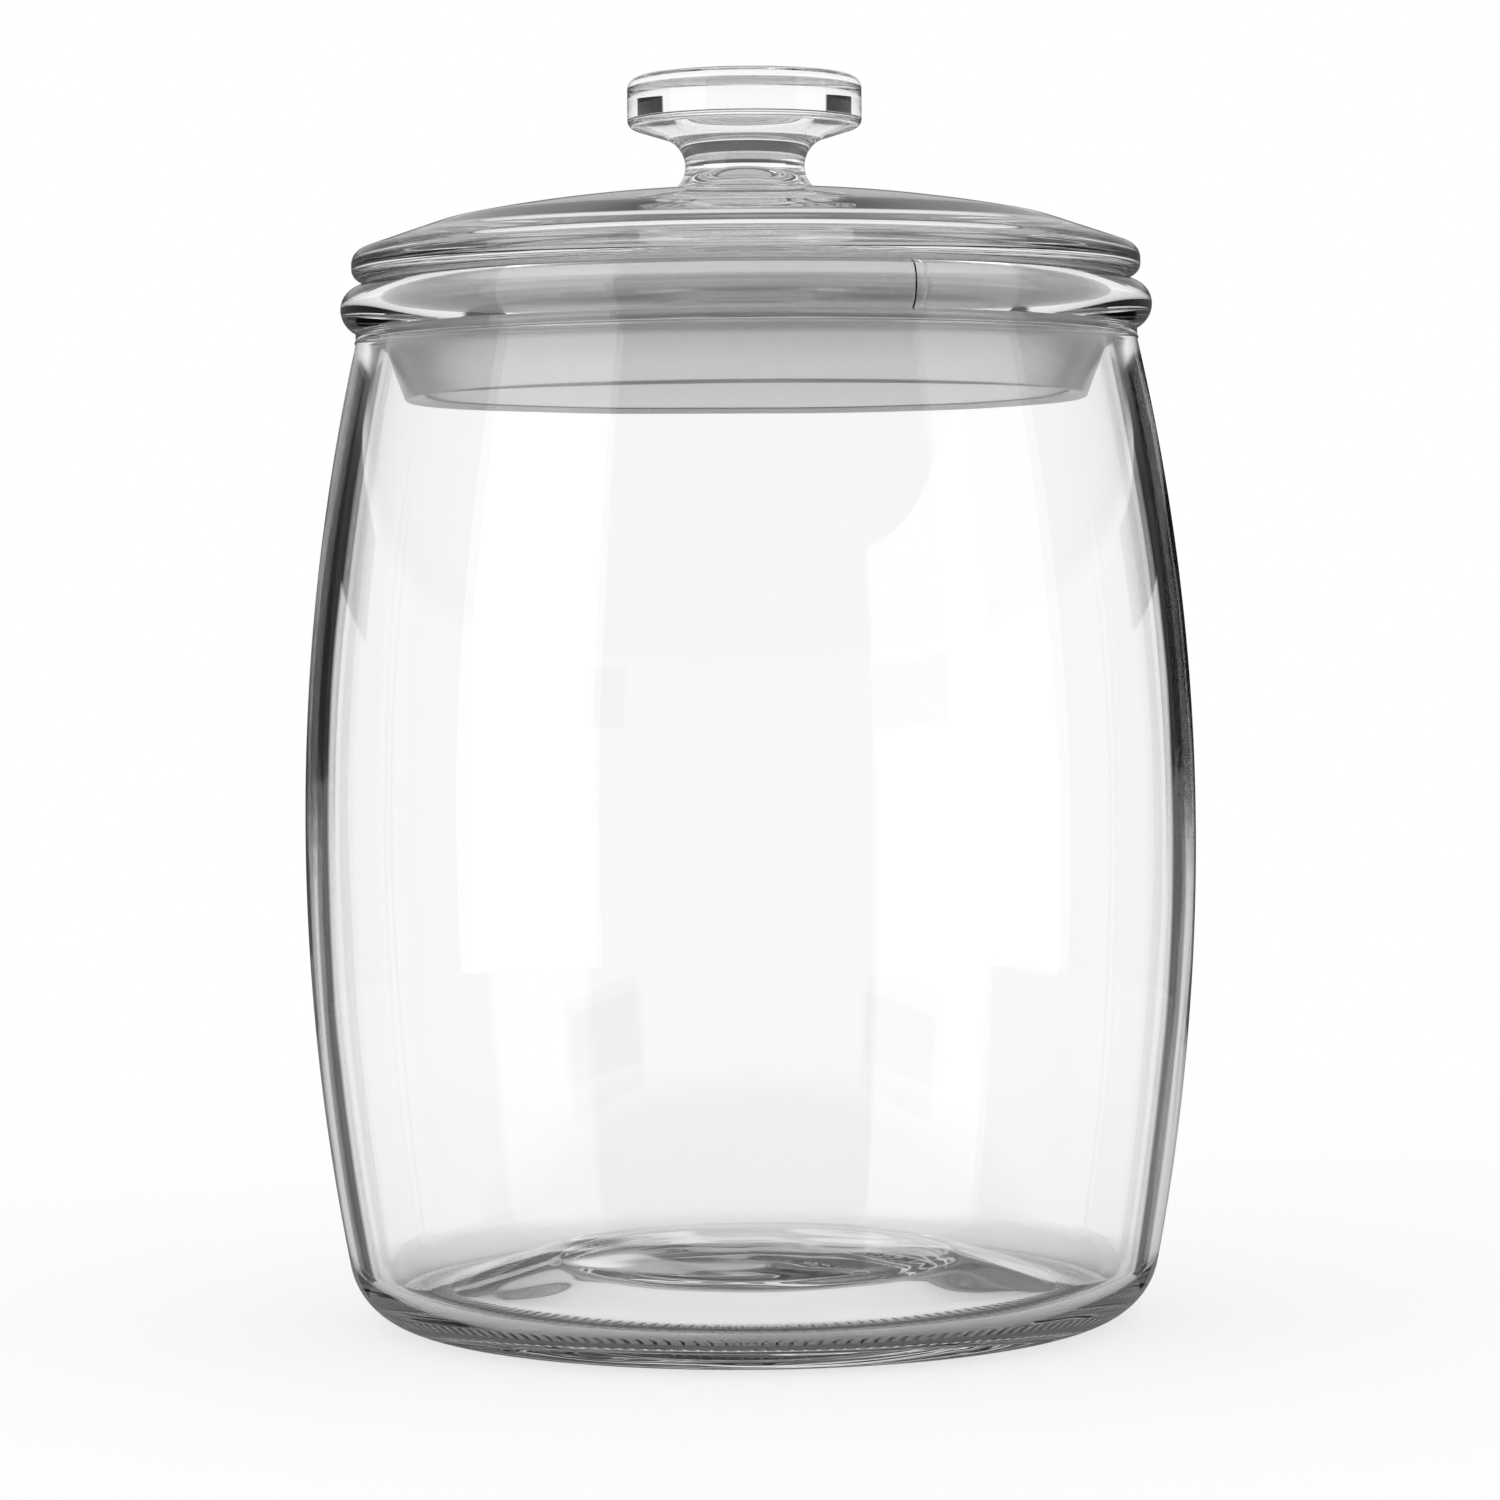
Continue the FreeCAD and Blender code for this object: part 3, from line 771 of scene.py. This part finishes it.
class JAR_OT_stage(JarOperator, bpy.types.Operator):
    """Set up the floor, the surroundings, the lamps and the camera"""

    bl_idname = "storage_jar.stage"
    bl_label = "Stage"

    def execute(self, context):
        scene = context.scene
        stage = scene.storage_jar.stage
        scene.view_settings.view_transform = "Standard"
        scene.cycles.max_bounces = GLASS_BOUNCES
        scene.cycles.transmission_bounces = GLASS_BOUNCES
        scene.cycles.glossy_bounces = GLOSS_BOUNCES
        scene.cycles.transparent_max_bounces = CARD_BOUNCES
        scene.world = studio_world(stage)
        lay_floor(stage)
        for lamp in SOFTBOXES:
            hang_softbox(*lamp)
        cut_cards(scene.storage_jar)
        scene.camera = place_camera(stage)
        return {"FINISHED"}


# ---------------------------------------------------------------- stage

GLASS_BOUNCES = 18
GLOSS_BOUNCES = 12
CARD_BOUNCES = 16
SENSOR_WIDTH = 36.0
CLIP_START = 0.01

# name, bearing, height of the middle, distance, width, height, radiance
SOFTBOXES = (
    ("softbox_left", -57.0, 0.16, 0.95, 0.66, 1.50, 1.10),
    ("softbox_right", 68.0, 0.16, 1.00, 0.60, 1.50, 0.75),
)


FLAG_EDGE = 0.006
UPPER_EDGE = 0.03
CEILING_EDGE = 0.15
COVE_LOW = 0.12
COVE_FULL = 0.20


def folded(tree, bearing, count):
    """Angle to the nearest of so many directions that are evenly spread round the horizon."""
    turns = arithmetic(tree, "MULTIPLY", bearing, count / math.tau)
    return arithmetic(tree, "MULTIPLY", arithmetic(tree, "PINGPONG", turns, 0.5), math.tau / count)


def studio_world(stage):
    """Even white to the eye; to the glass, white walls with dark flags and darkness above.

    Heights in here are the sine of the elevation.
    """
    world = bpy.data.worlds.new("studio")
    world.use_nodes = True
    tree = world.node_tree
    background = tree.nodes["Background"]
    direction = add_node(tree, "ShaderNodeTexCoord").outputs["Generated"]
    split = add_node(tree, "ShaderNodeSeparateXYZ", {"Vector": direction})
    bearing = arithmetic(tree, "ARCTAN2", split.outputs["Y"], split.outputs["X"])
    height = split.outputs["Z"]
    quarter = folded(tree, bearing, 4)
    window_edge = (stage.window - stage.softness, stage.window + stage.softness)
    aside = smooth_step(tree, quarter, *window_edge)
    raised = smooth_step(tree, height, stage.flag_low, stage.flag_low + FLAG_EDGE)
    flags = arithmetic(tree, "MULTIPLY", aside, raised)
    flag_top = stage.flag_high + FLAG_EDGE
    lowered = smooth_step(tree, height, stage.flag_high, flag_top, 1.0, 0.0)
    flags = arithmetic(tree, "MULTIPLY", flags, lowered)
    shade = smooth_step(tree, flags, 0.0, 1.0, 1.0, stage.flag_tone)
    upper = smooth_step(tree, height, stage.upper_level, stage.upper_level + UPPER_EDGE)
    shade = blend(tree, upper, shade, stage.upper_tone)
    overhead = smooth_step(tree, height, stage.ceiling_low, stage.ceiling_low + CEILING_EDGE)
    shade = blend(tree, overhead, shade, stage.ceiling_tone)
    mirrored = smooth_step(tree, height, COVE_LOW, COVE_FULL, stage.wall_tone, stage.cove_tone)
    mirrored = blend(tree, overhead, mirrored, stage.wall_tone)
    path = add_node(tree, "ShaderNodeLightPath").outputs
    seen = blend(tree, path["Is Glossy Ray"], stage.fill, mirrored)
    seen = blend(tree, path["Is Transmission Ray"], seen, shade)
    seen = blend(tree, path["Is Camera Ray"], seen, 1.0)
    tree.links.new(seen, background.inputs["Strength"])
    background.inputs["Color"].default_value = (1.0, 1.0, 1.0, 1.0)
    return world


def blend(tree, factor, low, high):
    """Mix two numbers by a factor."""
    node = add_node(tree, "ShaderNodeMix", {0: factor, 2: low, 3: high})
    return node.outputs[0]


FLOOR_SIDES = 96
FLOOR_WHITE = 0.95
FLOOR_ROUGHNESS = 0.9
FADE_FROM = 0.35
FADE_TO = 0.95
SEEN_GLOW = 0.70
# painted glow of the floor that only rays through the glass see, under the push-up and beyond the
# heel
PAINTED_GLOW_UNDER_PUSH_UP = 0.85
PAINTED_GLOW_BEYOND_HEEL = 0.6
# share of a painted dark that the floor shows in reflections
PAINTED_DARK_IN_REFLECTIONS = 0.85
# distances from the jar's axis between which a value changes
HEEL_BEGINS = (54.0 * MM, 62.0 * MM)
HEEL_ENDS = (100.0 * MM, 150.0 * MM)
JAR_ENDS = (95.0 * MM, 110.0 * MM)
# how far a ray meets the floor or a card aslant: 0 is square on, 1 is along it
STEEP = (0.38, 0.46)
SQUARE_ON = (0.19, 0.23)
INNER_LINE = (0.080, 0.105)
OUTER_LINE_RISE = (0.004, 0.008)
OUTER_LINE_FALL = (0.018, 0.026)


def lay_floor(stage):
    """A round white floor that melts into the white behind it and keeps the jar's shadow.

    In the glass it is bright under the push-up and beyond the heel from a painted glow, darker
    under the heel where only its own shade shows, and painted dark where a ray plunges onto it
    beside the jar. In reflections it is painted nearly as dim as the walls.
    """
    mesh = bmesh.new()
    bmesh.ops.create_circle(
        mesh, cap_ends=True, segments=FLOOR_SIDES, radius=stage.floor_radius
    )
    data = bpy.data.meshes.new("floor")
    mesh.to_mesh(data)
    mesh.free()
    floor = bpy.data.objects.new("floor", data)
    bpy.context.scene.collection.objects.link(floor)
    material = bpy.data.materials.new("floor_paper")
    material.use_nodes = True
    tree = material.node_tree
    shader = tree.nodes["Principled BSDF"]
    shader.inputs["Base Color"].default_value = (FLOOR_WHITE, FLOOR_WHITE, FLOOR_WHITE, 1.0)
    shader.inputs["Roughness"].default_value = FLOOR_ROUGHNESS
    shader.inputs["Specular IOR Level"].default_value = 0.0
    place = add_node(tree, "ShaderNodeTexCoord").outputs["Object"]
    away = add_node(tree, "ShaderNodeVectorMath", {0: place}, operation="LENGTH").outputs["Value"]
    reach = stage.floor_radius
    fade = smooth_step(tree, away, reach * FADE_FROM, reach * FADE_TO)
    path = add_node(tree, "ShaderNodeLightPath").outputs
    direct = arithmetic(tree, "MULTIPLY", path["Is Camera Ray"], SEEN_GLOW)
    # painted glow: rays through the glass see the floor glow under the push-up and beyond the heel
    inner = smooth_step(tree, away, *HEEL_BEGINS, PAINTED_GLOW_UNDER_PUSH_UP, 0.0)
    outer = smooth_step(tree, away, *HEEL_ENDS, 0.0, PAINTED_GLOW_BEYOND_HEEL)
    painted_glow_by_radius = arithmetic(tree, "MAXIMUM", inner, outer)
    painted_glow_in_glass = arithmetic(tree, "MULTIPLY", path["Is Transmission Ray"], painted_glow_by_radius)
    white_and_painted_glow = arithmetic(tree, "MAXIMUM", fade, arithmetic(tree, "MAXIMUM", direct, painted_glow_in_glass))
    glow = add_node(tree, "ShaderNodeEmission", {"Strength": 1.0})
    paper = shader.outputs[0]
    mix = add_node(tree, "ShaderNodeMixShader", {0: white_and_painted_glow, 1: paper, 2: glow.outputs[0]})
    # painted dark: reflections, and steep rays through the glass beside the jar, see a dim emission
    # instead of the paper
    unrefracted = arithmetic(tree, "SUBTRACT", 1.0, path["Is Transmission Ray"])
    mirrored = arithmetic(tree, "MULTIPLY", path["Is Glossy Ray"], unrefracted)
    facing = add_node(tree, "ShaderNodeLayerWeight", {"Blend": 0.5}).outputs["Facing"]
    steep = smooth_step(tree, facing, *STEEP, 1.0, 0.0)
    beside = smooth_step(tree, away, *JAR_ENDS)
    far_steep = arithmetic(tree, "MULTIPLY", steep, beside)
    painted_dark_where_plunging = arithmetic(tree, "MULTIPLY", far_steep, path["Is Transmission Ray"])
    dim = arithmetic(tree, "MULTIPLY", mirrored, PAINTED_DARK_IN_REFLECTIONS)
    painted_dark_mask = arithmetic(tree, "MAXIMUM", dim, painted_dark_where_plunging)
    dark = add_node(tree, "ShaderNodeEmission", {"Strength": stage.wall_tone})
    layers = {0: painted_dark_mask, 1: mix.outputs[0], 2: dark.outputs[0]}
    floor_with_painted_dark = add_node(tree, "ShaderNodeMixShader", layers)
    tree.links.new(floor_with_painted_dark.outputs[0], tree.nodes["Material Output"].inputs["Surface"])
    floor.data.materials.append(material)


def hang_softbox(name, bearing, level, distance, width, height, radiance):
    """A soft lamp beside the jar that faces its axis; bearing is from the front, to the right."""
    lamp = bpy.data.lights.new(name, "AREA")
    lamp.shape = "RECTANGLE"
    lamp.size = width
    lamp.size_y = height
    lamp.energy = radiance * math.pi * width * height
    angle = math.radians(bearing)
    place = Vector((math.sin(angle), -math.cos(angle), 0.0)) * distance + Vector((0, 0, level))
    target = Vector((0.0, 0.0, level))
    holder = bpy.data.objects.new(name, lamp)
    holder.location = place
    holder.rotation_euler = (place - target).to_track_quat("Z", "Y").to_euler()
    holder.visible_camera = False
    bpy.context.scene.collection.objects.link(holder)


CARD_COUNT = 8
CARD_RAGGED = 24.0 * MM
CARD_GRAIN = 300.0
INNER_LINE_BLACK = 0.9
OUTER_LINE_BLACK = 0.8


def cut_cards(model):
    """Dark cards cut to the jar's outline, standing out from it all round on every eighth turn.

    Only the glass sees them, and only nearly square on, so they darken its edges from each side.
    Low down they are two thin lines, and higher up they are whole, with a ragged change between.
    """
    jar = model.jar
    stage = model.stage
    gap = stage.card_gap
    outline = Outline(jar.foot_radius + gap, 0.0)
    outline.arc_to_upright(jar.belly_radius + gap, jar.belly_level)
    neck_top = jar.height - jar.bead_height - jar.neck_land
    outline.arc_from_upright(jar.mouth_radius + jar.neck_wall + gap, neck_top)
    mesh = outline.wire()
    strip = bmesh.ops.extrude_edge_only(mesh, edges=mesh.edges[:])
    outer = [item for item in strip["geom"] if isinstance(item, bmesh.types.BMVert)]
    bmesh.ops.translate(mesh, verts=outer, vec=(stage.card_width, 0.0, 0.0))
    bmesh.ops.spin(
        mesh,
        geom=mesh.faces[:],
        cent=(0.0, 0.0, 0.0),
        axis=(0.0, 0.0, 1.0),
        angle=math.tau * (CARD_COUNT - 1) / CARD_COUNT,
        steps=CARD_COUNT - 1,
        use_duplicate=True,
    )
    data = bpy.data.meshes.new("edge_cards")
    mesh.to_mesh(data)
    mesh.free()
    cards = bpy.data.objects.new("edge_cards", data)
    bpy.context.scene.collection.objects.link(cards)
    material = bpy.data.materials.new("card_black")
    material.use_nodes = True
    tree = material.node_tree
    place = add_node(tree, "ShaderNodeTexCoord").outputs["Object"]
    grain = {"Vector": place, "Scale": CARD_GRAIN, "Detail": 2.0}
    ragged = add_node(tree, "ShaderNodeTexNoise", grain).outputs["Fac"]
    split = add_node(tree, "ShaderNodeSeparateXYZ", {"Vector": place})
    uneven = arithmetic(tree, "MULTIPLY_ADD", ragged, CARD_RAGGED, split.outputs["Z"])
    lift = CARD_RAGGED / 2
    whole = smooth_step(tree, uneven, stage.card_low + lift, stage.card_high + lift)
    aslant = add_node(tree, "ShaderNodeLayerWeight", {"Blend": 0.5}).outputs["Facing"]
    shown = smooth_step(tree, aslant, *SQUARE_ON, 1.0, 0.0)
    inner_line = smooth_step(tree, aslant, *INNER_LINE, 0.0, INNER_LINE_BLACK)
    outer_rise = smooth_step(tree, aslant, *OUTER_LINE_RISE)
    outer_fall = smooth_step(tree, aslant, *OUTER_LINE_FALL, OUTER_LINE_BLACK, 0.0)
    outer_line = arithmetic(tree, "MULTIPLY", outer_rise, outer_fall)
    lines = arithmetic(tree, "MAXIMUM", inner_line, outer_line)
    opacity = arithmetic(tree, "MULTIPLY", shown, arithmetic(tree, "MAXIMUM", whole, lines))
    end = (neck_top - 3.0 * MM, neck_top - 1.0 * MM)
    below_top = smooth_step(tree, split.outputs["Z"], *end, 1.0, 0.0)
    opacity = arithmetic(tree, "MULTIPLY", opacity, below_top)
    black = add_node(tree, "ShaderNodeEmission", {"Strength": stage.flag_tone})
    clear = add_node(tree, "ShaderNodeBsdfTransparent")
    layers = {0: opacity, 1: clear.outputs[0], 2: black.outputs[0]}
    mix = add_node(tree, "ShaderNodeMixShader", layers)
    tree.links.new(mix.outputs[0], tree.nodes["Material Output"].inputs["Surface"])
    data.materials.append(material)
    cards.visible_camera = False
    cards.visible_diffuse = False
    cards.visible_shadow = False


def place_camera(stage):
    """The camera in front of the jar, a little below its middle."""
    lens = bpy.data.cameras.new("camera")
    lens.lens = stage.lens
    lens.sensor_width = SENSOR_WIDTH
    lens.clip_start = CLIP_START
    camera = bpy.data.objects.new("camera", lens)
    bpy.context.scene.collection.objects.link(camera)
    place = Matrix.Translation((0.0, -stage.camera_distance, stage.camera_height))
    tilt = Matrix.Rotation(math.pi / 2 + stage.camera_pitch, 4, "X")
    roll = Matrix.Rotation(stage.camera_roll, 4, "Z")
    camera.matrix_world = place @ tilt @ roll
    return camera


# ---------------------------------------------------------------- panel and registration

OPERATORS = (JAR_OT_jar_glass, JAR_OT_lid_glass, JAR_OT_seal_ring, JAR_OT_stage)


class JAR_PT_panel(bpy.types.Panel):
    """Lists the pieces of the storage jar"""

    bl_idname = "JAR_PT_panel"
    bl_label = "Glass storage jar"
    bl_space_type = "VIEW_3D"
    bl_region_type = "UI"
    bl_category = "Jar"

    def draw(self, context):
        for operator in OPERATORS:
            self.layout.operator(operator.bl_idname)


CLASSES = (
    JarSizes,
    LidSizes,
    SealSizes,
    Finishes,
    StageSettings,
    JarModel,
    *OPERATORS,
    JAR_PT_panel,
)


def register():
    for item in CLASSES:
        bpy.utils.register_class(item)
    bpy.types.Scene.storage_jar = PointerProperty(type=JarModel, name="Storage jar")


def unregister():
    del bpy.types.Scene.storage_jar
    for item in reversed(CLASSES):
        bpy.utils.unregister_class(item)


def main():
    register()
    bpy.ops.storage_jar.jar_glass()
    bpy.ops.storage_jar.lid_glass()
    bpy.ops.storage_jar.seal_ring()
    bpy.ops.storage_jar.stage()


if __name__ == "__main__":
    main()
